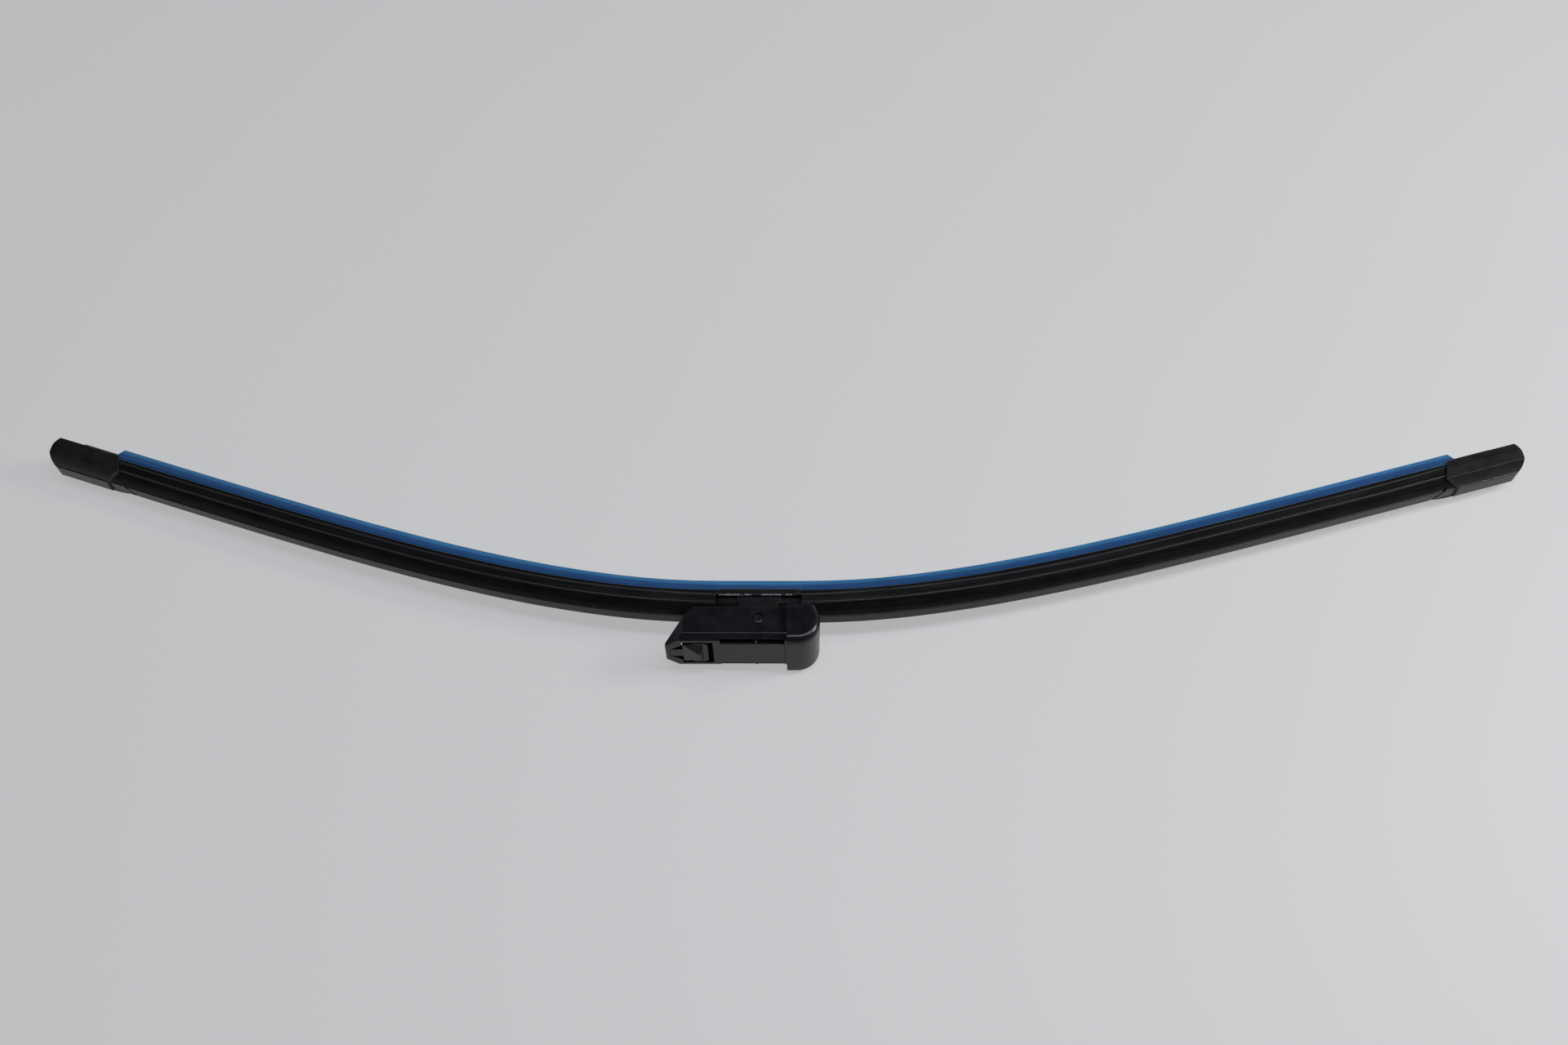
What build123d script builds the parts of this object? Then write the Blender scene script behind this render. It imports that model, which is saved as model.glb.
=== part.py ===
from build123d import *
import os
from math import cos, degrees, sin

# Flat wiper blade lying on its side, with a push-button adapter for the wiper arm.
# Millimetres. X runs along the blade, Y points to the wiping edge, Z across the blade, up as it lies.
# The origin is on the adapter's arm seat, over the pivot, in the blade's middle plane.
# Blade sections are drawn as (across, height): across runs along Z, and height is taken from the
# middle of the spring rails towards the spoiler's ridge, against Y.

# Line of the blade, measured along the rails from the middle of the base
LEFT_LENGTH = 285.3
RIGHT_LENGTH = 298.3
BEND_RADIUS = 224.5         # beside the base; the bend fades to straight in the caps
LEFT_FADE = 2.6             # power of the remaining length that the bend follows
RIGHT_FADE = 3.3
ARCS_PER_HALF = 6           # tangent arcs that follow the fading bend

# Spring rails
RAIL_WIDTH = 4.2
RAIL_THICKNESS = 0.9
RAIL_SPACING = 2.8          # between the two rails, where the rubber's neck stands
RAIL_EASE = 0.08            # room round a rail in what it slides into
RAIL_SETBACK = 4.0          # from a cap's outer end

# Wiper rubber
HEAD_WIDTH = 5.2
HEAD_HEIGHT = 1.6
SHOULDER_WIDTH = 6.6
SHOULDER_THICKNESS = 1.0
WEB_WIDTH = 0.9
WEB_HEIGHT = 1.4
HEEL_WIDTH = 4.4
HEEL_THICKNESS = 0.7
LIP_DEPTH = 2.3             # from the heel to the wiping edge
LIP_EDGE = 0.7
RUBBER_ROUND = 0.25
RUBBER_SETBACK = 6.0        # from a cap's outer end

# Edge protector
PROTECTOR_EASE = 0.12       # between the protector and the rubber's lip
PROTECTOR_WALL = 0.65
PROTECTOR_NOSE = 2.3        # solid nose beyond the wiping edge
PROTECTOR_NOSE_WIDTH = 2.0
PROTECTOR_REACH = 0.15      # how far the walls stand up past the heel
PROTECTOR_ROUND = 0.25
PROTECTOR_SETBACK = 23.3    # from a cap's outer end

# Spoilers
SPOILER_START = 15.2        # from the middle of the base
SPOILER_WALL = 0.78         # outside the rails' edges
SPOILER_LIP = 0.72          # lip under the rails
SPOILER_LIP_REACH = 1.3
SPOILER_CREST = 0.6         # height of the widest line of the side
SPOILER_LEAN = 0.2          # the side leans in from the crest to the shoulder
SPOILER_SHOULDER = 4.0      # height of the sharp shoulder line
SPOILER_BEAD = 0.5          # height of the bead that makes the shoulder line
SPOILER_LEDGE = 0.45
SPOILER_HOLLOW = 0.25       # sag of the hollow slope above the shoulder
SPOILER_HEIGHT = 7.7
RIDGE_WIDTH = 4.4
RIDGE_EDGE = 0.4
SPOILER_ROUND = 0.25
HEAD_ROOM = 0.3             # over and beside the rubber's head
SPOILER_SETBACK = 10.0      # from a cap's outer end
SLIT_WIDTH = 0.9            # slanted slit in the ridge beside each cap
SLIT_SETBACK = 37.4         # from a cap's outer end
SLIT_SLANT = 44.0           # degrees, towards the base as it comes down over the ridge
SLIT_DEPTH = 2.6

# End caps
CAP_LEFT_LENGTH = 32.7      # to the point of the mouth
CAP_RIGHT_LENGTH = 34.6
CAP_EASE = 0.15             # between a cap and the spoiler in it
CAP_LIP = 0.75              # under the spoiler
CAP_LIP_WIDTH = 13.8        # overall width at the lips' underside
CAP_MOUTH_WIDTH = 7.4       # opening between the lips, for the rubber
CAP_BELT_WIDTH = 14.5
CAP_BELT_HEIGHT = 1.4       # height of the widest line
CAP_SHOULDER_WIDTH = 13.8
CAP_SHOULDER_HEIGHT = 5.3
CAP_HOLLOW = 0.15
CAP_CROWN = 0.5             # cap's top wall over the spoiler's ridge
CAP_RIDGE_WIDTH = 5.6
CAP_RIDGE_EDGE = 0.45
CAP_POINT_HEIGHT = 4.6      # height of the mouth's point
CAP_LIP_RAKE = 4.6          # the mouth slants back from its point to the lips
CAP_RIDGE_RAKE = 5.0        # and to the ridge
CAP_END_CUT = 0.8           # the outer end is cut back at the lips
CAP_END_CUT_HEIGHT = 3.6
CAP_END_LEAN = 2.4          # the outer end leans back towards the ridge
CAP_END_ROUND = 4.0
CAP_END_BELLY = 9.0
CAP_END_LIP_ROUND = 1.0
CAP_EDGE_ROUND = 0.4

# Base, folded round the rails
BASE_LENGTH = 28.4
BASE_SHEET = 1.2
BASE_FOLD_ROUND = 0.6       # outer corner of the fold round a rail, on the ears' side
BASE_LIP_ROUND = 1.6        # and on the lips' side
BASE_LIP_REACH = 1.7
BASE_SEAT_WIDTH = 9.6       # raised channel over the rubber's head
EAR_SHEET = 1.5
EAR_OUTER_WIDTH = 11.2      # across the outer faces of the two ears
EAR_FOOT = 16.0
EAR_ROUND = 4.0             # radius of the ears' tops, round the pivot

# Pivot
PIVOT_HEIGHT = 12.5         # over the middle of the rails
PIN_DIAMETER = 4.0
PIN_EASE = 0.05             # running clearance in the adapter
PIN_SEAT_EASE = 0.01        # in the base's ears
PIN_RECESS = 0.35           # below the adapter's side face
PIN_ROUND = 0.6

# Adapter, with depths taken from the arm seat
SEAT_DEPTH = 9.0            # pivot below the arm seat
ADAPTER_WIDTH = 19.0
ADAPTER_WALL = 1.3
ADAPTER_DEPTH = 13.3        # lower edge of the skirts
DECK_DROP = 0.3             # the nose's deck lies below the seat
DECK_WIDTH = 16.2
EDGE_DEPTH = 2.75           # lower edge of the slanted top corners
EDGE_ROUND = 0.5
ROOF_THICKNESS = 1.9
NOSE_REACH = 32.2           # from the pivot to the nose's tip
NOSE_TIP = 1.3              # thickness of the tip
NOSE_TIP_WIDTH = 8.6
NOSE_TAPER = 6.2            # length over which the nose widens
NOSE_WALL = 1.5
NOSE_WALL_DEPTH = 5.2       # where the slanted nose wall stops, so that it clears the spoiler
SKIRT_REACH = 22.8          # skirts' lower corner on the nose side
SEAT_LEFT = 13.1            # ends of the arm seat, either side of the pivot
SEAT_RIGHT = 9.3
SEAT_WIDTH = 12.6
SLOT_WIDTH = 2.1            # slots along both sides of the seat
SLOT_RIB = 0.8
SLOT_RIB_OFFSET = -0.5
BOSS_DIAMETER = 7.6
BOSS_EASE = 0.15            # between a boss and the base's ear

# Adapter's rounded end
END_SHOULDER = 10.1         # from the pivot
END_REACH = 21.6
END_RISE = 1.4              # thickness of the arm's sheet, which ends flush here
END_WIDTH = 22.6
END_ROUND = 8.0
END_FOOT = 1.4              # the end leans in towards the skirts
END_FOOT_ROUND = 6.0
END_EDGE_ROUND = 2.6
END_WALL = 1.8
END_WALL_DEPTH = 7.6        # where the end wall stops, so that it clears the spoiler
END_SLIT_WIDTH = 0.6
END_SLIT_SPACING = 10.0
END_SLIT_DEPTH = 2.6

# Latch button and the opening it sits in
BUTTON_LENGTH = 7.2
BUTTON_WIDTH = 10.8
BUTTON_HEIGHT = 1.9         # over the deck
BUTTON_DEPTH = 2.4          # below the deck
BUTTON_CROWN_LENGTH = 1.2
BUTTON_CROWN_WIDTH = 4.0
BUTTON_BACK = 19.0          # catch face, from the pivot
BUTTON_SIDE_GAP = 1.3
BUTTON_BACK_GAP = 3.4
BUTTON_FRONT_GAP = 0.4
NECK_LENGTH = 4.0
NECK_WIDTH = 4.4
NECK_THICKNESS = 1.5
NECK_GAP = 0.3
NECK_EASE = 0.1             # round the neck's rounded root
NECK_WINDOW_WIDTH = 9.4     # across the two three-cornered openings, at the button
TONGUE_BACK = 1.6           # the tongue under the button stands out past its catch face
TONGUE_SIDE = 0.5           # and past its sides
TONGUE_ROUND = 1.4

# Places that follow from the sizes above
RAIL_Y = SEAT_DEPTH + PIVOT_HEIGHT
RAIL_HALF = RAIL_THICKNESS / 2
RAIL_ROOM = RAIL_HALF + RAIL_EASE
RAIL_INNER = RAIL_SPACING / 2
RAIL_OUTER = RAIL_INNER + RAIL_WIDTH
HEAD_TOP = RAIL_ROOM + HEAD_HEIGHT
SHOULDER_BOTTOM = -RAIL_ROOM - SHOULDER_THICKNESS
HEEL_TOP = SHOULDER_BOTTOM - WEB_HEIGHT
HEEL_BOTTOM = HEEL_TOP - HEEL_THICKNESS
LIP_TIP = HEEL_BOTTOM - LIP_DEPTH
SPOILER_SIDE = RAIL_OUTER + RAIL_EASE + SPOILER_WALL
SPOILER_BOTTOM = -RAIL_ROOM - SPOILER_LIP
ADAPTER_HALF = ADAPTER_WIDTH / 2
WALL_INNER = ADAPTER_HALF - ADAPTER_WALL
DECK_BOTTOM = DECK_DROP + ROOF_THICKNESS
NECK_ROOT = -BUTTON_BACK - BUTTON_LENGTH - NECK_LENGTH
NECK_MIDDLE = DECK_DROP + NECK_THICKNESS / 2

# Planes to draw on: the adapter's cross-section, and its plan seen from the arm
ACROSS = Plane((0, 0, 0), x_dir=(0, 0, 1), z_dir=(1, 0, 0))
ALONG_Y = Plane((0, 0, 0), x_dir=(1, 0, 0), z_dir=(0, -1, 0))


def spans_of(length, fade, cap_length):
    """Straight in the base, arcs with a fading bend, then straight: (start, stop, turn in radians).

    The straight end holds the cap and the slit beside it.
    """
    fading = length - SPOILER_START
    power = fade + 1
    arcs_end = length - max(cap_length, SLIT_SETBACK + RIDGE_WIDTH)
    spans = [(0.0, SPOILER_START, 0.0)]
    step = (arcs_end - SPOILER_START) / ARCS_PER_HALF
    for i in range(ARCS_PER_HALF):
        start = SPOILER_START + i * step
        stop = start + step
        share = ((length - start) / fading) ** power - ((length - stop) / fading) ** power
        spans.append((start, stop, share * fading / (power * BEND_RADIUS)))
    spans.append((arcs_end, length, 0.0))
    return spans


LEFT_SPANS = spans_of(LEFT_LENGTH, LEFT_FADE, CAP_LEFT_LENGTH)
RIGHT_SPANS = spans_of(RIGHT_LENGTH, RIGHT_FADE, CAP_RIGHT_LENGTH)


def station(spans, distance):
    """Section plane at a distance along a half, drawn to the right; its normal points outwards."""
    x = 0.0
    y = RAIL_Y
    heading = 0.0
    for start, stop, turn in spans:
        reach = min(distance, stop) - start
        if reach <= 0:
            break
        turned = turn * reach / (stop - start)
        if turn:
            radius = (stop - start) / turn
            x += radius * (sin(heading + turned) - sin(heading))
            y += radius * (cos(heading) - cos(heading + turned))
        else:
            x += reach * cos(heading)
            y += reach * sin(heading)
        heading += turned
    return Plane((x, y, 0), x_dir=(0, 0, 1), z_dir=(cos(heading), sin(heading), 0))


def run(section, spans, first, last):
    """Solids of a section carried along one half, from one distance to another."""
    solids = []
    for start, stop, turn in spans:
        low = max(start, first)
        high = min(stop, last)
        if high <= low:
            continue
        place = station(spans, low)
        face = place * section
        if turn:
            radius = (stop - start) / turn
            centre = place.origin - place.y_dir * radius
            solids.append(revolve(face, Axis(centre, (0, 0, 1)), degrees((high - low) / radius)))
        else:
            solids.append(extrude(face, high - low))
    return solids


def joined(solids):
    return solids[0].fuse(*solids[1:]).clean()


def left_of(shape):
    return mirror(shape, about=Plane.YZ)


def whole_length(section, setback):
    """A section carried through the base, from near one cap's outer end to near the other's."""
    right = run(section, RIGHT_SPANS, 0, RIGHT_LENGTH - setback)
    left = run(section, LEFT_SPANS, 0, LEFT_LENGTH - setback)
    return joined(right + [left_of(solid) for solid in left])


def symmetric(half):
    """Face bounded by half an outline, which starts and ends on the middle line, and its mirror image."""
    return make_face(half + mirror(half, about=Plane.YZ))


def rail(side):
    section = Pos(side * (RAIL_INNER + RAIL_OUTER) / 2, 0) * Rectangle(RAIL_WIDTH, RAIL_THICKNESS)
    return whole_length(section, RAIL_SETBACK)


def rubber():
    neck = RAIL_INNER - RAIL_EASE
    half = FilletPolyline(
        (0, HEAD_TOP),
        (HEAD_WIDTH / 2, HEAD_TOP),
        (HEAD_WIDTH / 2, RAIL_ROOM),
        (neck, RAIL_ROOM),
        (neck, -RAIL_ROOM),
        (SHOULDER_WIDTH / 2, -RAIL_ROOM),
        (SHOULDER_WIDTH / 2, SHOULDER_BOTTOM),
        (WEB_WIDTH / 2, SHOULDER_BOTTOM),
        (WEB_WIDTH / 2, HEEL_TOP),
        (HEEL_WIDTH / 2, HEEL_TOP),
        (HEEL_WIDTH / 2, HEEL_BOTTOM),
        (LIP_EDGE / 2, LIP_TIP),
        (0, LIP_TIP),
        radius=[RUBBER_ROUND, 0, 0, 0, 0, RUBBER_ROUND, 0, 0, RUBBER_ROUND, RUBBER_ROUND, 0],
    )
    return whole_length(symmetric(half), RUBBER_SETBACK)


def edge_protector():
    groove = HEEL_WIDTH / 2 + PROTECTOR_EASE
    outer = groove + PROTECTOR_WALL
    top = HEEL_TOP + PROTECTOR_REACH
    half = FilletPolyline(
        (0, LIP_TIP - PROTECTOR_EASE),
        (LIP_EDGE / 2 + PROTECTOR_EASE, LIP_TIP - PROTECTOR_EASE),
        (groove, HEEL_BOTTOM - PROTECTOR_EASE),
        (groove, top),
        (outer, top),
        (outer, HEEL_BOTTOM),
        (PROTECTOR_NOSE_WIDTH / 2, LIP_TIP - PROTECTOR_NOSE),
        (0, LIP_TIP - PROTECTOR_NOSE),
        radius=[0, 0, PROTECTOR_ROUND, PROTECTOR_ROUND, PROTECTOR_ROUND, PROTECTOR_ROUND],
    )
    return whole_length(symmetric(half), PROTECTOR_SETBACK)


def spoiler_outside(ease):
    """Half of the spoiler's outside, from the ridge's middle to the lip's underside, grown by an ease."""
    side = SPOILER_SIDE + ease
    ledge = (side - SPOILER_LEDGE, SPOILER_SHOULDER + ease)
    ridge_foot = (RIDGE_WIDTH / 2 + ease, SPOILER_HEIGHT - RIDGE_EDGE)
    ridge = FilletPolyline(
        (0, SPOILER_HEIGHT + ease),
        (RIDGE_WIDTH / 2 + ease, SPOILER_HEIGHT + ease),
        ridge_foot,
        radius=[SPOILER_ROUND],
    )
    slope = SagittaArc(ridge_foot, ledge, SPOILER_HOLLOW)
    wall = FilletPolyline(
        ledge,
        (side, SPOILER_SHOULDER + ease),
        (side - SPOILER_LEAN, SPOILER_SHOULDER - SPOILER_BEAD),
        (side, SPOILER_CREST),
        (side, SPOILER_BOTTOM - ease),
        (RAIL_OUTER - SPOILER_LIP_REACH, SPOILER_BOTTOM - ease),
        radius=[SPOILER_ROUND, 0, 0, SPOILER_LIP],
    )
    return ridge + slope + wall


def spoiler(spans, length):
    lip_edge = RAIL_OUTER - SPOILER_LIP_REACH
    inside = Polyline(
        (lip_edge, SPOILER_BOTTOM),
        (lip_edge, -RAIL_ROOM),
        (RAIL_OUTER + RAIL_EASE, -RAIL_ROOM),
        (RAIL_OUTER + RAIL_EASE, RAIL_ROOM),
        (HEAD_WIDTH / 2 + HEAD_ROOM, RAIL_ROOM),
        (HEAD_WIDTH / 2 + HEAD_ROOM, HEAD_TOP + HEAD_ROOM),
        (0, HEAD_TOP + HEAD_ROOM),
    )
    section = symmetric(spoiler_outside(0) + inside)
    body = joined(run(section, spans, SPOILER_START, length - SPOILER_SETBACK))
    slit_place = station(spans, length - SLIT_SETBACK)
    slit = Box(2 * RIDGE_WIDTH, 2 * SLIT_DEPTH, SLIT_WIDTH)
    return body - slit_place.location * Pos(0, SPOILER_HEIGHT, 0) * Rot(0, -SLIT_SLANT, 0) * slit


def cap_outside():
    top = SPOILER_HEIGHT + CAP_EASE + CAP_CROWN
    bottom = SPOILER_BOTTOM - CAP_EASE - CAP_LIP
    shoulder = (CAP_SHOULDER_WIDTH / 2, CAP_SHOULDER_HEIGHT)
    ridge_foot = (CAP_RIDGE_WIDTH / 2, top - CAP_RIDGE_EDGE)
    ridge = FilletPolyline((0, top), (CAP_RIDGE_WIDTH / 2, top), ridge_foot, radius=[CAP_EDGE_ROUND])
    slope = SagittaArc(ridge_foot, shoulder, CAP_HOLLOW)
    wall = FilletPolyline(
        shoulder,
        (CAP_BELT_WIDTH / 2, CAP_BELT_HEIGHT),
        (CAP_LIP_WIDTH / 2, bottom),
        (0, bottom),
        radius=[0, CAP_EDGE_ROUND],
    )
    return symmetric(ridge + slope + wall)


def end_cap(spans, length, cap_length):
    """Straight cap, drawn with its mouth's point at zero and its outer end along its own Z."""
    top = SPOILER_HEIGHT + CAP_EASE + CAP_CROWN
    bottom = SPOILER_BOTTOM - CAP_EASE - CAP_LIP
    from_side = Plane((0, 0, 0), x_dir=(0, 0, 1), z_dir=(-1, 0, 0))
    side_view = make_face(FilletPolyline(
        (CAP_LIP_RAKE, bottom),
        (0, CAP_POINT_HEIGHT),
        (CAP_RIDGE_RAKE, top),
        (cap_length - CAP_END_LEAN, top),
        (cap_length, bottom + CAP_END_CUT_HEIGHT),
        (cap_length - CAP_END_CUT, bottom),
        radius=[0, CAP_EDGE_ROUND, 0, CAP_END_ROUND, CAP_END_BELLY, CAP_END_LIP_ROUND],
        close=True,
    ))
    block = extrude(cap_outside(), cap_length)
    block = block & extrude(from_side * side_view, CAP_BELT_WIDTH, both=True)
    lip_edge = RAIL_OUTER - SPOILER_LIP_REACH
    pocket_floor = Polyline((lip_edge, SPOILER_BOTTOM - CAP_EASE), (0, SPOILER_BOTTOM - CAP_EASE))
    pocket_section = symmetric(spoiler_outside(CAP_EASE) + pocket_floor)
    pocket = extrude(pocket_section, cap_length - SPOILER_SETBACK + CAP_EASE)
    rails_room = Box(
        2 * (RAIL_OUTER + RAIL_EASE),
        2 * RAIL_ROOM,
        cap_length - RAIL_SETBACK + RAIL_EASE,
        align=(Align.CENTER, Align.CENTER, Align.MIN),
    )
    head_room = Pos(0, RAIL_ROOM) * Box(
        HEAD_WIDTH + 2 * HEAD_ROOM,
        HEAD_HEIGHT + HEAD_ROOM,
        cap_length - RUBBER_SETBACK + CAP_EASE,
        align=(Align.CENTER, Align.MIN, Align.MIN),
    )
    rubber_way = Box(
        CAP_MOUTH_WIDTH,
        -bottom,
        cap_length - RUBBER_SETBACK + CAP_EASE,
        align=(Align.CENTER, Align.MAX, Align.MIN),
    )
    cap = block - pocket - rails_room - head_room - rubber_way
    return station(spans, length - cap_length).location * cap


def base():
    at_middle = station(RIGHT_SPANS, 0)
    fold = RAIL_ROOM + BASE_SHEET
    fold_centre = RAIL_OUTER + RAIL_EASE + BASE_SHEET - fold
    lip_edge = RAIL_OUTER - BASE_LIP_REACH
    roof = HEAD_TOP + HEAD_ROOM
    top = Polyline(
        (0, roof + BASE_SHEET),
        (BASE_SEAT_WIDTH / 2, roof + BASE_SHEET),
        (BASE_SEAT_WIDTH / 2, fold),
        (fold_centre, fold),
    )
    edge = fold_centre + fold
    bend = FilletPolyline(
        (fold_centre, fold),
        (edge, fold),
        (edge, -fold),
        (fold_centre, -fold),
        radius=[BASE_FOLD_ROUND, BASE_LIP_ROUND],
    )
    inside = Polyline(
        (fold_centre, -fold),
        (lip_edge, -fold),
        (lip_edge, -RAIL_ROOM),
        (RAIL_OUTER + RAIL_EASE, -RAIL_ROOM),
        (RAIL_OUTER + RAIL_EASE, RAIL_ROOM),
        (HEAD_WIDTH / 2 + HEAD_ROOM, RAIL_ROOM),
        (HEAD_WIDTH / 2 + HEAD_ROOM, roof),
        (0, roof),
    )
    clamp = extrude(at_middle * symmetric(top + bend + inside), BASE_LENGTH / 2, both=True)
    foot_y = RAIL_Y - RAIL_ROOM - BASE_SHEET / 2
    ear_top = Pos(0, SEAT_DEPTH) * Circle(EAR_ROUND)
    ear_foot = Line((-EAR_FOOT / 2, foot_y), (EAR_FOOT / 2, foot_y))
    ear_side = make_hull(ear_top.edges() + ear_foot.edges())
    ear_side -= Pos(0, SEAT_DEPTH) * Circle(PIN_DIAMETER / 2 + PIN_SEAT_EASE)
    ear = extrude(Pos(0, 0, EAR_OUTER_WIDTH / 2 - EAR_SHEET) * ear_side, EAR_SHEET)
    return clamp + ear + mirror(ear, about=Plane.XY)


def pivot_pin():
    pin = Cylinder(PIN_DIAMETER / 2, ADAPTER_WIDTH - 2 * PIN_RECESS)
    pin = fillet(pin.edges().filter_by(GeomType.CIRCLE), PIN_ROUND)
    return Pos(0, SEAT_DEPTH) * pin


def adapter_plan():
    """Adapter seen along Y: tapered nose, then parallel sides past the rounded end."""
    tip = NOSE_TIP_WIDTH / 2
    full = -NOSE_REACH + NOSE_TAPER
    past = END_REACH + 2 * ADAPTER_WALL
    return Polygon(
        (-NOSE_REACH, -tip),
        (full, -ADAPTER_HALF),
        (past, -ADAPTER_HALF),
        (past, ADAPTER_HALF),
        (full, ADAPTER_HALF),
        (-NOSE_REACH, tip),
        align=None,
    )


def adapter_block():
    """Nose and skirts: the cross-section, cut to the slanted nose and the tapered plan."""
    section = symmetric(FilletPolyline(
        (0, -DECK_DROP),
        (DECK_WIDTH / 2, -DECK_DROP),
        (ADAPTER_HALF, -EDGE_DEPTH),
        (ADAPTER_HALF, -ADAPTER_DEPTH),
        (0, -ADAPTER_DEPTH),
        radius=[EDGE_ROUND, EDGE_ROUND, 0],
    ))
    side_view = Polygon(
        (-NOSE_REACH, DECK_DROP),
        (-NOSE_REACH, DECK_DROP + NOSE_TIP),
        (-SKIRT_REACH, ADAPTER_DEPTH),
        (END_SHOULDER, ADAPTER_DEPTH),
        (END_SHOULDER, DECK_DROP),
        align=None,
    )
    bar = extrude(ACROSS.offset(-NOSE_REACH) * section, NOSE_REACH + END_SHOULDER)
    bar = bar & extrude(side_view, ADAPTER_HALF, both=True)
    return bar & extrude(ALONG_Y * adapter_plan(), ADAPTER_DEPTH, both=True)


def adapter_end():
    """Rounded end that stands proud of the seat by the thickness of the arm's sheet."""
    side_view = make_face(FilletPolyline(
        (END_SHOULDER, -END_RISE),
        (END_REACH, -END_RISE),
        (END_REACH, SEAT_DEPTH),
        (END_REACH - END_FOOT, ADAPTER_DEPTH),
        (END_SHOULDER, ADAPTER_DEPTH),
        radius=[0, END_ROUND, END_FOOT_ROUND, 0, 0],
        close=True,
    ))
    end = extrude(side_view, END_WIDTH / 2, both=True)
    side_edges = end.faces().filter_by(Axis.Z).edges()
    past_shoulder = [edge for edge in side_edges if edge.center().X > END_SHOULDER + END_EDGE_ROUND / 2]
    rim = [edge for edge in past_shoulder if edge.center().Y < ADAPTER_DEPTH - END_EDGE_ROUND / 2]
    return fillet(rim, END_EDGE_ROUND)


def adapter_hollow():
    """Room inside the skirts, open below the nose wall, the end wall and between the skirts."""
    slope = Vector(NOSE_REACH - SKIRT_REACH, ADAPTER_DEPTH - DECK_DROP - NOSE_TIP).normalized()
    wall_start = Vector(-NOSE_REACH, DECK_DROP + NOSE_TIP) + Vector(slope.Y, -slope.X) * NOSE_WALL
    ceiling_x = wall_start.X + slope.X * (DECK_BOTTOM - wall_start.Y) / slope.Y
    wall_stop_x = wall_start.X + slope.X * (NOSE_WALL_DEPTH - wall_start.Y) / slope.Y
    end_inner = END_REACH - END_WALL
    end_ceiling = ROOF_THICKNESS - END_RISE
    beyond_nose = -2 * NOSE_REACH
    beyond_end = 2 * END_REACH
    below = 2 * ADAPTER_DEPTH
    side_view = make_face(FilletPolyline(
        (ceiling_x, DECK_BOTTOM),
        (END_SHOULDER + END_WALL, DECK_BOTTOM),
        (END_SHOULDER + END_WALL, end_ceiling),
        (end_inner, end_ceiling),
        (end_inner, END_WALL_DEPTH),
        (beyond_end, END_WALL_DEPTH),
        (beyond_end, below),
        (beyond_nose, below),
        (beyond_nose, NOSE_WALL_DEPTH),
        (wall_stop_x, NOSE_WALL_DEPTH),
        radius=[0, 0, 0, END_ROUND - END_WALL, 0, 0, 0, 0, 0, 0],
        close=True,
    ))
    room = extrude(side_view, WALL_INNER, both=True)
    plan = offset(adapter_plan(), -ADAPTER_WALL, kind=Kind.INTERSECTION)
    inside_nose = extrude(ALONG_Y * plan, below, both=True)
    return room & (inside_nose + Pos(END_REACH, 0) * Box(2 * END_REACH, 2 * below, 2 * WALL_INNER))


def button_opening():
    """Opening in the deck round the button, with a three-cornered opening on either side of the neck."""
    front = -BUTTON_BACK - BUTTON_LENGTH - BUTTON_FRONT_GAP
    back = -BUTTON_BACK + BUTTON_BACK_GAP
    side = BUTTON_WIDTH / 2 + BUTTON_SIDE_GAP
    neck_side = NECK_WIDTH / 2 + NECK_GAP
    plan = Polygon(
        (NECK_ROOT, -neck_side),
        (front, -NECK_WINDOW_WIDTH / 2),
        (front, -side),
        (back, -side),
        (back, side),
        (front, side),
        (front, NECK_WINDOW_WIDTH / 2),
        (NECK_ROOT, neck_side),
        align=None,
    )
    hole = extrude(ALONG_Y.offset(-DECK_BOTTOM) * plan, 2 * DECK_BOTTOM)
    socket = Cylinder(NECK_THICKNESS / 2 + NECK_EASE, 2 * neck_side)
    return hole + Pos(NECK_ROOT, NECK_MIDDLE) * socket


def adapter():
    body = adapter_block() + adapter_end()
    seat_length = SEAT_LEFT + SEAT_RIGHT
    seat_middle = (SEAT_RIGHT - SEAT_LEFT) / 2
    body += Pos(seat_middle, DECK_BOTTOM / 2) * Box(seat_length, DECK_BOTTOM, SEAT_WIDTH)
    body -= adapter_hollow()
    body -= button_opening()
    for side in (-1, 1):
        boss_foot = side * (WALL_INNER + EAR_OUTER_WIDTH / 2 + BOSS_EASE) / 2
        boss = Cylinder(BOSS_DIAMETER / 2, WALL_INNER - EAR_OUTER_WIDTH / 2 - BOSS_EASE)
        body += Pos(0, SEAT_DEPTH, boss_foot) * boss
        slot_z = side * (SEAT_WIDTH + SLOT_WIDTH) / 2
        for start, stop in (
            (-SEAT_LEFT, SLOT_RIB_OFFSET - SLOT_RIB / 2),
            (SLOT_RIB_OFFSET + SLOT_RIB / 2, SEAT_RIGHT),
        ):
            body -= Pos((start + stop) / 2, 0, slot_z) * Box(stop - start, 2 * EDGE_DEPTH, SLOT_WIDTH)
        slit_stop = END_WALL_DEPTH + END_WALL
        slit = Box(2 * END_WALL, slit_stop - END_SLIT_DEPTH, END_SLIT_WIDTH)
        slit_z = side * END_SLIT_SPACING / 2
        body -= Pos(END_REACH - END_WALL / 2, (slit_stop + END_SLIT_DEPTH) / 2, slit_z) * slit
    bore = Cylinder(PIN_DIAMETER / 2 + PIN_EASE, 2 * ADAPTER_WIDTH)
    return body - Pos(0, SEAT_DEPTH) * bore


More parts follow.
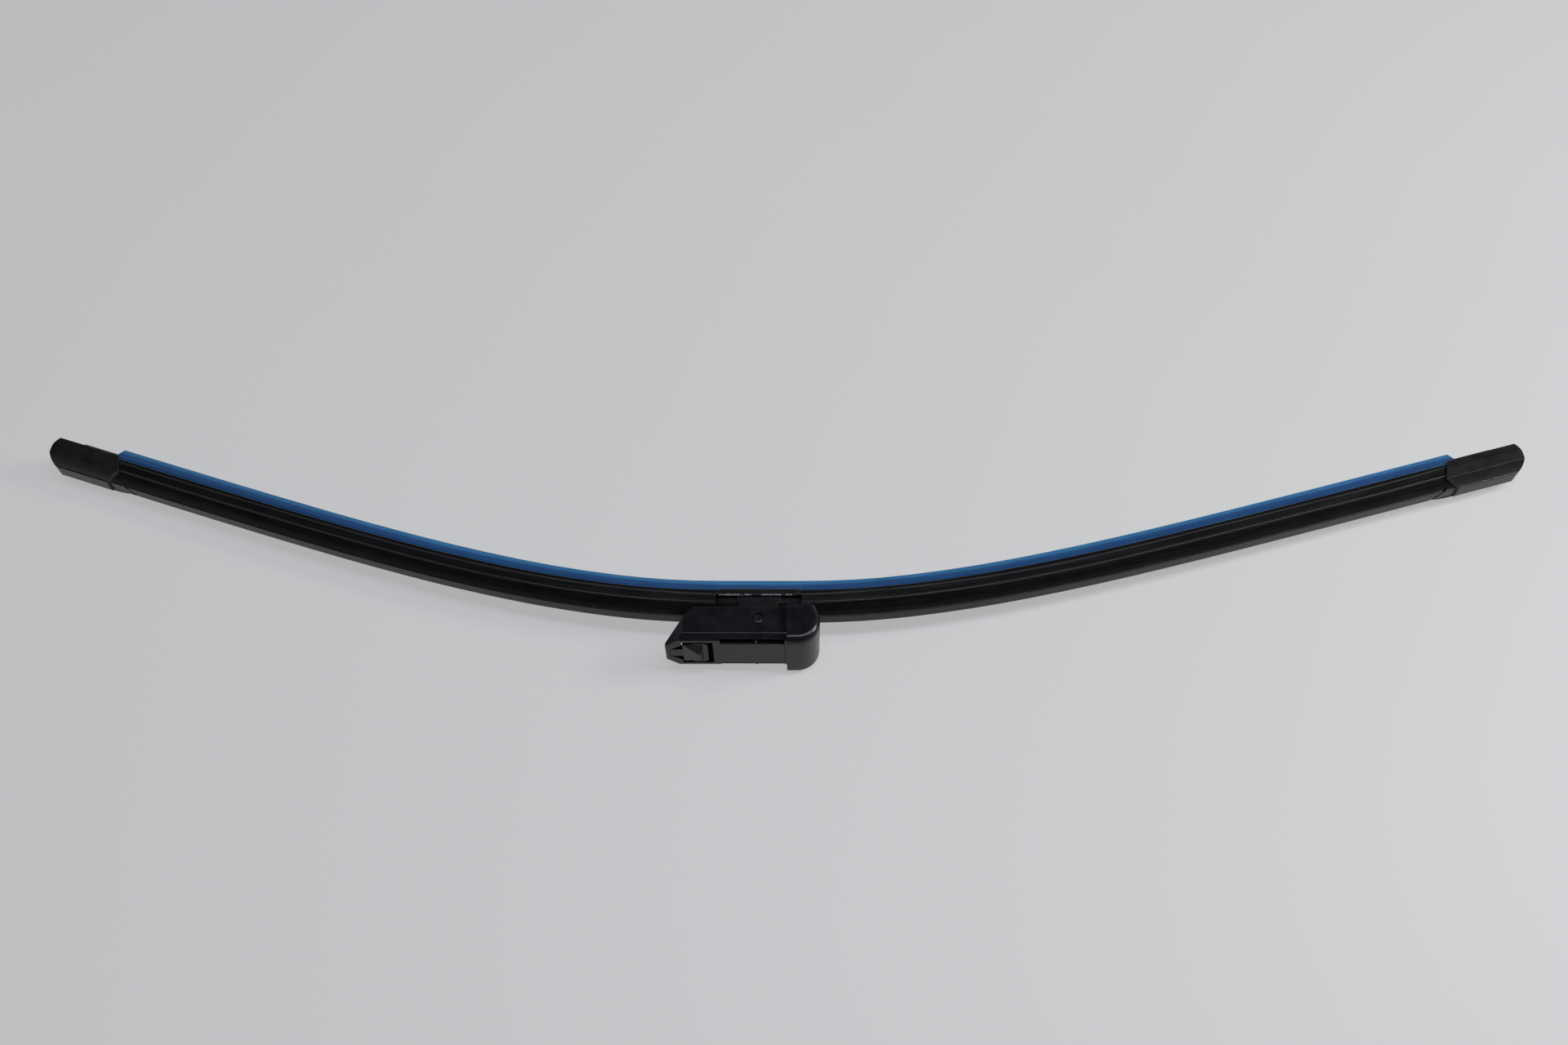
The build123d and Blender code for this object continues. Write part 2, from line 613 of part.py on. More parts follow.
def latch_button():
    front = -BUTTON_BACK - BUTTON_LENGTH
    middle = -BUTTON_BACK - BUTTON_LENGTH / 2
    crown_middle = -BUTTON_BACK - BUTTON_CROWN_LENGTH
    root = Pos(NECK_ROOT, NECK_MIDDLE) * Cylinder(NECK_THICKNESS / 2, NECK_WIDTH)
    neck_reach = NECK_LENGTH + BUTTON_LENGTH / 2
    neck = Pos(NECK_ROOT + neck_reach / 2, NECK_MIDDLE) * Box(neck_reach, NECK_THICKNESS, NECK_WIDTH)
    block = Pos(middle, DECK_DROP + BUTTON_DEPTH / 2) * Box(BUTTON_LENGTH, BUTTON_DEPTH, BUTTON_WIDTH)
    tongue_length = BUTTON_LENGTH / 2 + TONGUE_BACK
    tongue_middle = middle + tongue_length / 2
    tongue_width = BUTTON_WIDTH + 2 * TONGUE_SIDE
    tongue = Pos(tongue_middle, NECK_MIDDLE) * Box(tongue_length, NECK_THICKNESS, tongue_width)
    back_corners = tongue.edges().filter_by(Axis.Y).group_by(Axis.X)[-1]
    tongue = fillet(back_corners, TONGUE_ROUND)
    foot = ALONG_Y.offset(-DECK_DROP) * Pos(middle, 0) * Rectangle(BUTTON_LENGTH, BUTTON_WIDTH)
    crown_level = ALONG_Y.offset(BUTTON_HEIGHT - DECK_DROP)
    crown = crown_level * Pos(crown_middle, 0) * Rectangle(BUTTON_CROWN_LENGTH, BUTTON_CROWN_WIDTH)
    return root + neck + block + tongue + loft([foot, crown])


PIECES = {
    "wiper_rubber": rubber(),
    "rail_upper": rail(1),
    "rail_lower": rail(-1),
    "edge_protector": edge_protector(),
    "spoiler_right": spoiler(RIGHT_SPANS, RIGHT_LENGTH),
    "spoiler_left": left_of(spoiler(LEFT_SPANS, LEFT_LENGTH)),
    "end_cap_right": end_cap(RIGHT_SPANS, RIGHT_LENGTH, CAP_RIGHT_LENGTH),
    "end_cap_left": left_of(end_cap(LEFT_SPANS, LEFT_LENGTH, CAP_LEFT_LENGTH)),
    "base": base(),
    "pivot_pin": pivot_pin(),
    "adapter": adapter(),
    "latch_button": latch_button(),
}

os.makedirs("parts", exist_ok=True)
for name, piece in PIECES.items():
    export_step(piece, f"parts/{name}.step")
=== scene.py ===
"""Looks of a flat wiper blade with a blue edge protector and a push-button arm adapter, in metres."""

from math import atan, cos, pi, radians, sin

import bmesh
import bpy
import numpy as np
from mathutils import Matrix, Vector

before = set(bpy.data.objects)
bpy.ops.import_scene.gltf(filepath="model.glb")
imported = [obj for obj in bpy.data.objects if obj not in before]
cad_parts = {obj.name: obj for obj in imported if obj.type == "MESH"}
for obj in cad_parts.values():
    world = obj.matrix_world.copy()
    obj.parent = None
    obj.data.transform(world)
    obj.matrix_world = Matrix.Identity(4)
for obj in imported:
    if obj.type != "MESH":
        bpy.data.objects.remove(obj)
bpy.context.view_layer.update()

MM = 0.001

# Photograph's frame and the camera that took it
PHOTO_WIDTH_PX = 1920
FOCAL_PX = 1550
SENSOR_WIDTH_MM = 36.0
CAMERA_PLACE = Vector((0.01446, -0.22248, 0.38413))
CAMERA_ELEVATION = radians(54.0)
CAMERA_YAW = 0.0208743
CAMERA_ROLL = -0.0161620
CAMERA_NEAREST = 0.01

# Tabletop, sloped so that the adapter and a cap rest on it together
STEEPEST_SLOPE = 0.2
SLOPE_TRIES = 30
TABLE_RADIUS = 3.0
TABLE_SIDES = 96
SWEEP_ROUND = 1.2           # the table's rim sweeps up to a low wall all round
SWEEP_STEPS = 12
TABLE_FIBRE = 1.2 * MM
TABLE_FIBRE_SHARE = 0.3
TABLE_FIBRE_HEIGHT = 0.02 * MM
TABLE_CLOUD = 160 * MM
TABLE_DARK = (0.175, 0.175, 0.177, 1.0)
TABLE_LIGHT = (0.195, 0.195, 0.197, 1.0)
TABLE_ROUGHNESS = 0.6
TABLE_GLOW = 0.43           # pale level that the table keeps in the blade's shadow
BACKDROP_GLOW = 0.20        # and its level far from the blade
GLOW_FADE = (0.8, 3.2)      # from the blade's middle, where the pale level starts and ends its change
GLOW_COLOUR = (0.97, 0.98, 1.0, 1.0)

# Faint light from the whole room
ROOM_COLOUR = (0.93, 0.96, 1.0, 1.0)
ROOM_STRENGTH = 0.05

# Bent line of the blade, for finishes that run along it
LINE_DEGREE = 10
LINE_POINTS = 41
WHOLE_WIDTH = (0.0, 1.0)
STREAK_STRETCH = 0.02       # share of the along-blade distance that a streak's pattern sees

# Ranges of noise that a finish uses, and how it finds specks and edges
NOISE_MIDDLE = (0.3, 0.7)
SOFT_DETAIL = 2.0           # layers of finer noise in a soft pattern
PLAIN_DETAIL = 3.0          # in a plain one
FINE_DETAIL = 4.0           # and in a fine one
SPECK_CORE = 0.6            # share of a speck's size that is full
EDGE_SAMPLES = 8            # looks taken round a point to find an edge beside it
EDGE_TURN = (0.99, 0.75)    # cosine of the turn beside an edge, where rubbing starts and where it is full

# Black rubber of the spoilers and the wiping lip
RUBBER_BLOOM = 9 * MM
RUBBER_BLOOM_RANGE = (0.15, 0.45)
RUBBER_SMOOTHER = 0.06      # die lines make rubber this much smoother
RUBBER_ROUGHER = 0.08       # or this much rougher
RUBBED_RUBBER = (0.07, 0.07, 0.074, 1.0)
RUBBED_RUBBER_SHARE = 0.5
RUBBED_RUBBER_WIDTH = 0.25 * MM
RUBBER_DUST = (0.25, 0.25, 0.26, 1.0)
RUBBER_DUST_SHARE = 0.5
RUBBER_DUST_SPACING = 7 * MM
RUBBER_DUST_SIZE = 0.12 * MM
RUBBER_EDGE_ROUND = 0.2 * MM
DIE_LINE_HEIGHT = 0.005 * MM
# Lines along each spoiler at its crest and shoulder, painted as highlights on low beads
CREST_PLACE = 0.6 * MM      # crest of a spoiler, this far from the rails' line towards the ridge
SHOULDER_PLACE = 3.9 * MM   # and its shoulder
HIGHLIGHT_LINE_SPAN = (0.15 * MM, 0.38 * MM)      # a painted highlight line on its bead is full to the first and gone by the second
HIGHLIGHT_LINE_BEAD_HEIGHT = 0.03 * MM
PAINTED_HIGHLIGHT_COLOUR = (0.036, 0.036, 0.038, 1.0)
PAINTED_HIGHLIGHT_SHARE = 0.85

# Black plastic of the caps, the adapter and its button
PLASTIC_FLOW = 6 * MM
PLASTIC_FLOW_RANGE = (0.35, 0.7)
PLASTIC_GLOSS_RANGE = (0.4, 1.1)
PLASTIC_GLOSS_CHANGE = 0.02
PLASTIC_GRAIN_SHARE = 0.5
PLASTIC_GRAIN_HEIGHT = 0.002 * MM
PLASTIC_EDGE_ROUND = 0.25 * MM
# Paler plastic edges: rubbing and a painted highlight between faces
PLASTIC_EDGE_WEAR_AND_HIGHLIGHT = (0.10, 0.10, 0.105, 1.0)
PLASTIC_EDGE_WEAR_AND_HIGHLIGHT_WIDTH = 0.3 * MM
PLASTIC_DUST = (0.4, 0.4, 0.42, 1.0)
PLASTIC_DUST_SHARE = 0.6
PLASTIC_DUST_SPACING = 4.5 * MM
PLASTIC_DUST_SIZE = 0.13 * MM

# Mirror strength of black rubber and plastic, and of the base's black coat
DULL_BLACK = 0.36
SATIN_BLACK = 0.25

# Black coat of the base and the bare steel where it is worn through
COAT_DARK = (0.004, 0.004, 0.005, 1.0)
COAT_LIGHT = (0.014, 0.014, 0.016, 1.0)
COAT_TONE = 5 * MM
COAT_WAVE = 2.2 * MM
COAT_WAVE_HEIGHT = 0.03 * MM
COAT_ROUGHNESS = (0.30, 0.38)
COAT_EDGE_ROUND = 0.2 * MM
RUBBED_COAT = (0.12, 0.12, 0.125, 1.0)
RUBBED_COAT_SHARE = 0.3
RUBBED_COAT_WIDTH = 0.2 * MM
FOLD_FACING = (1.22, 1.36)  # how far a face turns to the fold's corner, where wear starts and is full
BARE_PATCH = 1.5 * MM
BARE_PATCH_RANGE = (0.46, 0.56)
BARE_STEEL = (0.70, 0.71, 0.73, 1.0)
BARE_SMOOTHER = 0.15        # bare steel is smoother than the coat by this roughness

# Steel of the rails and the pin
STEEL_FILM = 1.6 * MM
STEEL_SMOOTHER = 0.08       # tool marks make steel this much smoother
STEEL_ROUGHER = 0.12        # or this much rougher
STEEL_MARK_HEIGHT = 0.015 * MM
STEEL_EDGE_ROUND = 0.1 * MM

# Blue plastic of the edge protector, painted paler at the nose for light shining through where no rubber
# lies behind it
NOSE_CORNER = (0.7 * MM, 1.05 * MM)     # across the blade, where the protector's nose has its corners
BLUE_STREAK = 0.35 * MM
BLUE_STREAK_HEIGHT = 0.03 * MM
BLUE_STREAK_SHARE = 0.7
BLUE_CLOUD = 12 * MM
BLUE_TONE_RANGE = (0.35, 0.65)
BLUE_BACKED_DARK = (0.003, 0.070, 0.26, 1.0)
BLUE_BACKED_LIGHT = (0.006, 0.110, 0.35, 1.0)
BLUE_PAINTED_GLOW_DARK = (0.022, 0.20, 0.48, 1.0)
BLUE_PAINTED_GLOW_LIGHT = (0.05, 0.29, 0.60, 1.0)
BLUE_GLOW_CHANGE = (-2.6 * MM, -1.3 * MM)    # out from the nose's corners, from backed blue to the painted glow of light shining through
BLUE_ROUGHNESS = (0.26, 0.40)
BLUE_REFRACTION = 1.46
BLUE_SEE_THROUGH = 0.4
BLUE_EDGE_ROUND = 0.12 * MM


# Node helpers

def put(tree, kind, **inputs):
    """New node; each input named in words takes a value or another node's output."""
    made = tree.nodes.new(kind)
    for words, value in inputs.items():
        fill(tree, made.inputs[words.replace("_", " ")], value)
    return made


def fill(tree, socket, value):
    """Link another node's output to a socket, or write a plain value in it."""
    if isinstance(value, bpy.types.NodeSocket):
        tree.links.new(value, socket)
    else:
        socket.default_value = value


def math(tree, operation, first, second=0.0):
    made = tree.nodes.new("ShaderNodeMath")
    made.operation = operation
    fill(tree, made.inputs[0], first)
    fill(tree, made.inputs[1], second)
    return made.outputs[0]


def spread(tree, value, from_low, from_high, to_low, to_high):
    """Value carried from one range to another and held within it."""
    made = put(tree, "ShaderNodeMapRange", Value=value)
    made.inputs["From Min"].default_value = from_low
    made.inputs["From Max"].default_value = from_high
    made.inputs["To Min"].default_value = to_low
    made.inputs["To Max"].default_value = to_high
    return made.outputs["Result"]


def blend_colours(tree, share, first, second):
    made = tree.nodes.new("ShaderNodeMix")
    made.data_type = "RGBA"
    fill(tree, made.inputs[0], share)
    fill(tree, made.inputs[6], first)
    fill(tree, made.inputs[7], second)
    return made.outputs[2]


def tint(tree, colour, mask, share, second):
    """Colour with a share of a second one laid over it where a mask is 1."""
    return blend_colours(tree, math(tree, "MULTIPLY", mask, share), colour, second)


def noise(tree, place, grain, detail=PLAIN_DETAIL):
    """Soft noise whose blobs are about one grain across."""
    made = put(tree, "ShaderNodeTexNoise", Vector=place, Scale=1.0 / grain, Detail=detail)
    return made.outputs["Fac"]


def object_place(tree):
    return tree.nodes.new("ShaderNodeTexCoord").outputs["Object"]


def bent_line(piece_name, nearest, furthest):
    """Smooth line through a piece's points that lie so far across: x, y and the cosine of its slant."""
    points = np.array([vertex.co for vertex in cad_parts[piece_name].data.vertices])
    across = np.abs(points[:, 2])
    points = points[(across >= nearest) & (across <= furthest)]
    fitted = np.polynomial.Polynomial.fit(points[:, 0], points[:, 1], LINE_DEGREE)
    x = np.linspace(points[:, 0].min(), points[:, 0].max(), LINE_POINTS)
    return x, fitted(x), 1.0 / np.hypot(1.0, fitted.deriv()(x))


def even_curve(tree, share, values):
    """Curve through evenly spaced values, read at a share from 0 to 1."""
    curve = tree.nodes.new("ShaderNodeFloatCurve")
    points = curve.mapping.curves[0].points
    while len(points) < len(values):
        points.new(0.5, 0.5)
    for point, place, value in zip(points, np.linspace(0.0, 1.0, len(values)), values):
        point.location = (place, value)
    curve.mapping.update()
    tree.links.new(share, curve.inputs["Value"])
    return curve.outputs["Value"]


def blade_place(tree, line):
    """Where a point lies on the blade laid straight: along it, out from a bent line, and across."""
    line_x, line_y, line_slant = line
    low, high = line_y.min(), line_y.max()
    parts = put(tree, "ShaderNodeSeparateXYZ", Vector=object_place(tree))
    share = spread(tree, parts.outputs["X"], line_x[0], line_x[-1], 0.0, 1.0)
    bend = spread(tree, even_curve(tree, share, (line_y - low) / (high - low)), 0.0, 1.0, low, high)
    above = math(tree, "SUBTRACT", parts.outputs["Y"], bend)
    out = math(tree, "MULTIPLY", above, even_curve(tree, share, line_slant))
    along = math(tree, "MULTIPLY", parts.outputs["X"], STREAK_STRETCH)
    return put(tree, "ShaderNodeCombineXYZ", X=along, Y=out, Z=parts.outputs["Z"]).outputs[0], out


def dust(tree, spacing, size):
    """Sparse specks: 1 on a speck and 0 beside it."""
    cells = put(tree, "ShaderNodeTexVoronoi", Vector=object_place(tree), Scale=1.0 / spacing)
    return spread(tree, cells.outputs["Distance"], SPECK_CORE * size / spacing, size / spacing, 1.0, 0.0)


def rubbed_and_highlit_edges(tree, radius):
    """1 on edges that hands and handling rub, lightened on plastic also as painted highlight; 0 on open
    faces.
    """
    bevel = put(tree, "ShaderNodeBevel", Radius=radius)
    bevel.samples = EDGE_SAMPLES
    flat = tree.nodes.new("ShaderNodeNewGeometry").outputs["Normal"]
    dot = tree.nodes.new("ShaderNodeVectorMath")
    dot.operation = "DOT_PRODUCT"
    tree.links.new(bevel.outputs["Normal"], dot.inputs[0])
    tree.links.new(flat, dot.inputs[1])
    return spread(tree, dot.outputs["Value"], *EDGE_TURN, 0.0, 1.0)


def fold_corner(tree):
    """1 on the fold's outer corners, which face both outwards and away from the wiping lip."""
    normal = tree.nodes.new("ShaderNodeNewGeometry").outputs["Normal"]
    facing = put(tree, "ShaderNodeSeparateXYZ", Vector=normal).outputs
    both = math(tree, "SUBTRACT", math(tree, "ABSOLUTE", facing["Z"]), facing["Y"])
    return spread(tree, both, *FOLD_FACING, 0.0, 1.0)


def new_finish(name):
    material = bpy.data.materials.new(name)
    material.use_nodes = True
    return material, material.node_tree, material.node_tree.nodes["Principled BSDF"]


def relief(tree, shader, height, depth, edge_radius=0.0):
    """Bump from a height, on top of softly rounded edges where a radius is given."""
    bump = put(tree, "ShaderNodeBump", Height=height, Strength=1.0, Distance=depth)
    if edge_radius:
        rounded = put(tree, "ShaderNodeBevel", Radius=edge_radius)
        tree.links.new(rounded.outputs["Normal"], bump.inputs["Normal"])
    tree.links.new(bump.outputs["Normal"], shader.inputs["Normal"])


# Finishes

def extruded_rubber(name, dark, light, roughness, streak, highlight_line_places=()):
    """Black rubber: die lines along it, a dull bloom, worn edges, dust and painted highlight lines on
    beads.
    """
    material, tree, shader = new_finish(name)
    along, out = blade_place(tree, bent_line("rail_upper", *WHOLE_WIDTH))
    lines = noise(tree, along, streak, FINE_DETAIL)
    bloom = math(tree, "MULTIPLY", lines, noise(tree, object_place(tree), RUBBER_BLOOM))
    colour = blend_colours(tree, spread(tree, bloom, *RUBBER_BLOOM_RANGE, 0.0, 1.0), dark, light)
    edges = rubbed_and_highlit_edges(tree, RUBBED_RUBBER_WIDTH)
    colour = tint(tree, colour, edges, RUBBED_RUBBER_SHARE, RUBBED_RUBBER)
    specks = dust(tree, RUBBER_DUST_SPACING, RUBBER_DUST_SIZE)
    colour = tint(tree, colour, specks, RUBBER_DUST_SHARE, RUBBER_DUST)
    gloss = spread(tree, lines, *NOISE_MIDDLE, roughness - RUBBER_SMOOTHER, roughness + RUBBER_ROUGHER)
    tree.links.new(gloss, shader.inputs["Roughness"])
    shader.inputs["Specular IOR Level"].default_value = DULL_BLACK
    height = math(tree, "MULTIPLY", lines, DIE_LINE_HEIGHT)
    # Painted highlight: a paler line on a low raised bead at each place given across the spoiler
    for highlight_line_place in highlight_line_places:
        beside = math(tree, "ABSOLUTE", math(tree, "ADD", out, highlight_line_place))
        highlight_line = spread(tree, beside, *HIGHLIGHT_LINE_SPAN, 1.0, 0.0)
        colour = tint(tree, colour, highlight_line, PAINTED_HIGHLIGHT_SHARE, PAINTED_HIGHLIGHT_COLOUR)
        height = math(tree, "ADD", height, math(tree, "MULTIPLY", highlight_line, HIGHLIGHT_LINE_BEAD_HEIGHT))
    tree.links.new(colour, shader.inputs["Base Color"])
    relief(tree, shader, height, 1.0, RUBBER_EDGE_ROUND)
    return material


def moulded_plastic(name, dark, light, roughness, grain, edge_wear_and_highlight):
    """Black moulded plastic: fine eroded grain, faint flow marks, edges paler from wear and painted
    highlight, dust.
    """
    material, tree, shader = new_finish(name)
    place = object_place(tree)
    fine = noise(tree, place, grain, SOFT_DETAIL)
    flow = noise(tree, place, PLASTIC_FLOW)
    colour = blend_colours(tree, spread(tree, flow, *PLASTIC_FLOW_RANGE, 0.0, 1.0), dark, light)
    # Edges made paler for rubbing and as a painted highlight
    edges = rubbed_and_highlit_edges(tree, PLASTIC_EDGE_WEAR_AND_HIGHLIGHT_WIDTH)
    colour = tint(tree, colour, edges, edge_wear_and_highlight, PLASTIC_EDGE_WEAR_AND_HIGHLIGHT)
    specks = dust(tree, PLASTIC_DUST_SPACING, PLASTIC_DUST_SIZE)
    colour = tint(tree, colour, specks, PLASTIC_DUST_SHARE, PLASTIC_DUST)
    tree.links.new(colour, shader.inputs["Base Color"])
    uneven = math(tree, "ADD", flow, math(tree, "MULTIPLY", fine, PLASTIC_GRAIN_SHARE))
    smoothest, roughest = roughness - PLASTIC_GLOSS_CHANGE, roughness + PLASTIC_GLOSS_CHANGE
    gloss = spread(tree, uneven, *PLASTIC_GLOSS_RANGE, smoothest, roughest)
    tree.links.new(gloss, shader.inputs["Roughness"])
    shader.inputs["Specular IOR Level"].default_value = DULL_BLACK
    relief(tree, shader, fine, PLASTIC_GRAIN_HEIGHT, PLASTIC_EDGE_ROUND)
    return material


def painted_steel(name):
    """Folded steel with a satin black coat that lies in low waves and is worn through along the fold."""
    material, tree, shader = new_finish(name)
    place = object_place(tree)
    waves = noise(tree, place, COAT_WAVE, SOFT_DETAIL)
    tone = noise(tree, place, COAT_TONE)
    colour = blend_colours(tree, tone, COAT_DARK, COAT_LIGHT)
    edges = rubbed_and_highlit_edges(tree, RUBBED_COAT_WIDTH)
    colour = tint(tree, colour, edges, RUBBED_COAT_SHARE, RUBBED_COAT)
    patches = noise(tree, place, BARE_PATCH, SOFT_DETAIL)
    patches = spread(tree, patches, *BARE_PATCH_RANGE, 0.0, 1.0)
    bare = math(tree, "MULTIPLY", fold_corner(tree), patches)
    tree.links.new(blend_colours(tree, bare, colour, BARE_STEEL), shader.inputs["Base Color"])
    tree.links.new(bare, shader.inputs["Metallic"])
    satin = spread(tree, tone, *NOISE_MIDDLE, *COAT_ROUGHNESS)
    gloss = math(tree, "SUBTRACT", satin, math(tree, "MULTIPLY", bare, BARE_SMOOTHER))
    tree.links.new(gloss, shader.inputs["Roughness"])
    shader.inputs["Specular IOR Level"].default_value = SATIN_BLACK
    relief(tree, shader, waves, COAT_WAVE_HEIGHT, COAT_EDGE_ROUND)
    return material


def turned_steel(name, dark, light, roughness, streak):
    """Bare steel with fine tool marks and a dull film."""
    material, tree, shader = new_finish(name)
    place = object_place(tree)
    marks = noise(tree, place, streak, FINE_DETAIL)
    film = noise(tree, place, STEEL_FILM)
    tree.links.new(blend_colours(tree, film, dark, light), shader.inputs["Base Color"])
    shader.inputs["Metallic"].default_value = 1.0
    gloss = spread(tree, marks, *NOISE_MIDDLE, roughness - STEEL_SMOOTHER, roughness + STEEL_ROUGHER)
    tree.links.new(gloss, shader.inputs["Roughness"])
    relief(tree, shader, marks, STEEL_MARK_HEIGHT, STEEL_EDGE_ROUND)
    return material


def translucent_blue(name):
    """Blue extruded plastic that lets light through, with die lines and a paler band painted along its
    nose for light shining through.
    """
    material, tree, shader = new_finish(name)
    along, out = blade_place(tree, bent_line("edge_protector", *NOSE_CORNER))
    lines = noise(tree, along, BLUE_STREAK, FINE_DETAIL)
    cloud = noise(tree, object_place(tree), BLUE_CLOUD)
    streaks = math(tree, "MULTIPLY", lines, BLUE_STREAK_SHARE)
    clouds = math(tree, "MULTIPLY", cloud, 1.0 - BLUE_STREAK_SHARE)
    tone = spread(tree, math(tree, "ADD", streaks, clouds), *BLUE_TONE_RANGE, 0.0, 1.0)
    backed = blend_colours(tree, tone, BLUE_BACKED_DARK, BLUE_BACKED_LIGHT)
    # Painted light: the nose is coloured paler where light shines through with no rubber behind
    clear = blend_colours(tree, tone, BLUE_PAINTED_GLOW_DARK, BLUE_PAINTED_GLOW_LIGHT)
    colour = blend_colours(tree, spread(tree, out, *BLUE_GLOW_CHANGE, 0.0, 1.0), backed, clear)
    tree.links.new(colour, shader.inputs["Base Color"])
    tree.links.new(spread(tree, lines, *NOISE_MIDDLE, *BLUE_ROUGHNESS), shader.inputs["Roughness"])
    shader.inputs["IOR"].default_value = BLUE_REFRACTION
    shader.inputs["Transmission Weight"].default_value = BLUE_SEE_THROUGH
    relief(tree, shader, lines, BLUE_STREAK_HEIGHT, BLUE_EDGE_ROUND)
    return material


def pale_tabletop(name):
    """Pale matt table whose level, as the camera and mirrors see it, fades towards the backdrop."""
    material, tree, shader = new_finish(name)
    place = object_place(tree)
    fibre = noise(tree, place, TABLE_FIBRE, FINE_DETAIL)
    cloud = noise(tree, place, TABLE_CLOUD, SOFT_DETAIL)
    fibres = math(tree, "MULTIPLY", fibre, TABLE_FIBRE_SHARE)
    clouds = math(tree, "MULTIPLY", cloud, 1.0 - TABLE_FIBRE_SHARE)
    tone = math(tree, "ADD", fibres, clouds)
    tree.links.new(blend_colours(tree, tone, TABLE_DARK, TABLE_LIGHT), shader.inputs["Base Color"])
    shader.inputs["Roughness"].default_value = TABLE_ROUGHNESS
    ray = tree.nodes.new("ShaderNodeLightPath").outputs
    seen = math(tree, "ADD", ray["Is Camera Ray"], ray["Is Glossy Ray"])
    seen = math(tree, "MINIMUM", math(tree, "ADD", seen, ray["Is Transmission Ray"]), 1.0)
    away = put(tree, "ShaderNodeVectorMath", Vector=place)
    away.operation = "LENGTH"
    glow = spread(tree, away.outputs["Value"], *GLOW_FADE, TABLE_GLOW, BACKDROP_GLOW)
    tree.links.new(math(tree, "MULTIPLY", seen, glow), shader.inputs["Emission Strength"])
    shader.inputs["Emission Color"].default_value = GLOW_COLOUR
    relief(tree, shader, fibre, TABLE_FIBRE_HEIGHT)
    return material


FINISHES = {
    "spoiler": extruded_rubber(
        "spoiler_rubber", dark=(0.003, 0.003, 0.0035, 1.0), light=(0.008, 0.008, 0.009, 1.0),
        roughness=0.26, streak=0.5 * MM, highlight_line_places=(CREST_PLACE, SHOULDER_PLACE)),
    "wiper_rubber": extruded_rubber(
        "lip_rubber", dark=(0.005, 0.005, 0.005, 1.0), light=(0.016, 0.016, 0.016, 1.0),
        roughness=0.6, streak=0.3 * MM),
    "spring_steel": turned_steel(
        "blackened_spring_steel", dark=(0.05, 0.05, 0.055, 1.0), light=(0.16, 0.16, 0.165, 1.0),
        roughness=0.36, streak=0.4 * MM),
    "protector": translucent_blue("protector_blue"),
    # The caps' edges are lightened most: a painted highlight between their facets, along with wear
    "end_cap": moulded_plastic(
        "cap_plastic", dark=(0.008, 0.008, 0.009, 1.0), light=(0.018, 0.018, 0.019, 1.0),
        roughness=0.26, grain=0.18 * MM, edge_wear_and_highlight=0.9),
    "base": painted_steel("base_black_coat"),
    "pin": turned_steel(
        "pin_steel", dark=(0.02, 0.02, 0.022, 1.0), light=(0.10, 0.10, 0.105, 1.0),
        roughness=0.3, streak=0.25 * MM),
    # The adapter's black has a slight blue cast, a painted reflection of cool light
    "adapter": moulded_plastic(
        "adapter_plastic", dark=(0.005, 0.0052, 0.007, 1.0), light=(0.012, 0.0125, 0.0155, 1.0),
        roughness=0.24, grain=0.16 * MM, edge_wear_and_highlight=0.35),
}

PIECE_FINISH = {
    "wiper_rubber": "wiper_rubber",
    "rail_upper": "spring_steel",
    "rail_lower": "spring_steel",
    "edge_protector": "protector",
    "spoiler_left": "spoiler",
    "spoiler_right": "spoiler",
    "end_cap_left": "end_cap",
    "end_cap_right": "end_cap",
    "base": "base",
    "pivot_pin": "pin",
    "adapter": "adapter",
    "latch_button": "adapter",
}

for piece_name, finish_name in PIECE_FINISH.items():
    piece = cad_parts[piece_name]
    piece.data.materials.clear()
    piece.data.materials.append(FINISHES[finish_name])


# Stage

def lowest(piece_names, slope):
    """Height, over the origin, of a table with this slope that these pieces just touch."""
    return min(
        vertex.co.z - slope * vertex.co.y
        for piece_name in piece_names
        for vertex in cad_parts[piece_name].data.vertices
    )


def resting_slope():
    """Slope of the table, up towards the wiping edge, on which the adapter and a cap both rest."""
    flat_enough, too_steep = 0.0, STEEPEST_SLOPE
    for _ in range(SLOPE_TRIES):
        slope = (flat_enough + too_steep) / 2
        if lowest(["adapter"], slope) < lowest(["end_cap_left", "end_cap_right"], slope):
            flat_enough = slope
        else:
            too_steep = slope
    return flat_enough


def sweep_up(shape):
    """Carry a flat round table's rim up along a quarter circle."""
    rim = shape.edges[:]
    for step in range(1, SWEEP_STEPS + 1):
        angle = pi / 2 * step / SWEEP_STEPS
        made = bmesh.ops.extrude_edge_only(shape, edges=rim)["geom"]
        points = {point for point in made if isinstance(point, bmesh.types.BMVert)}
        for point in points:
            point.co.xy = point.co.xy.normalized() * (TABLE_RADIUS + SWEEP_ROUND * sin(angle))
            point.co.z = SWEEP_ROUND * (1 - cos(angle))
        edges = [edge for edge in made if isinstance(edge, bmesh.types.BMEdge)]
        rim = [edge for edge in edges if points.issuperset(edge.verts)]


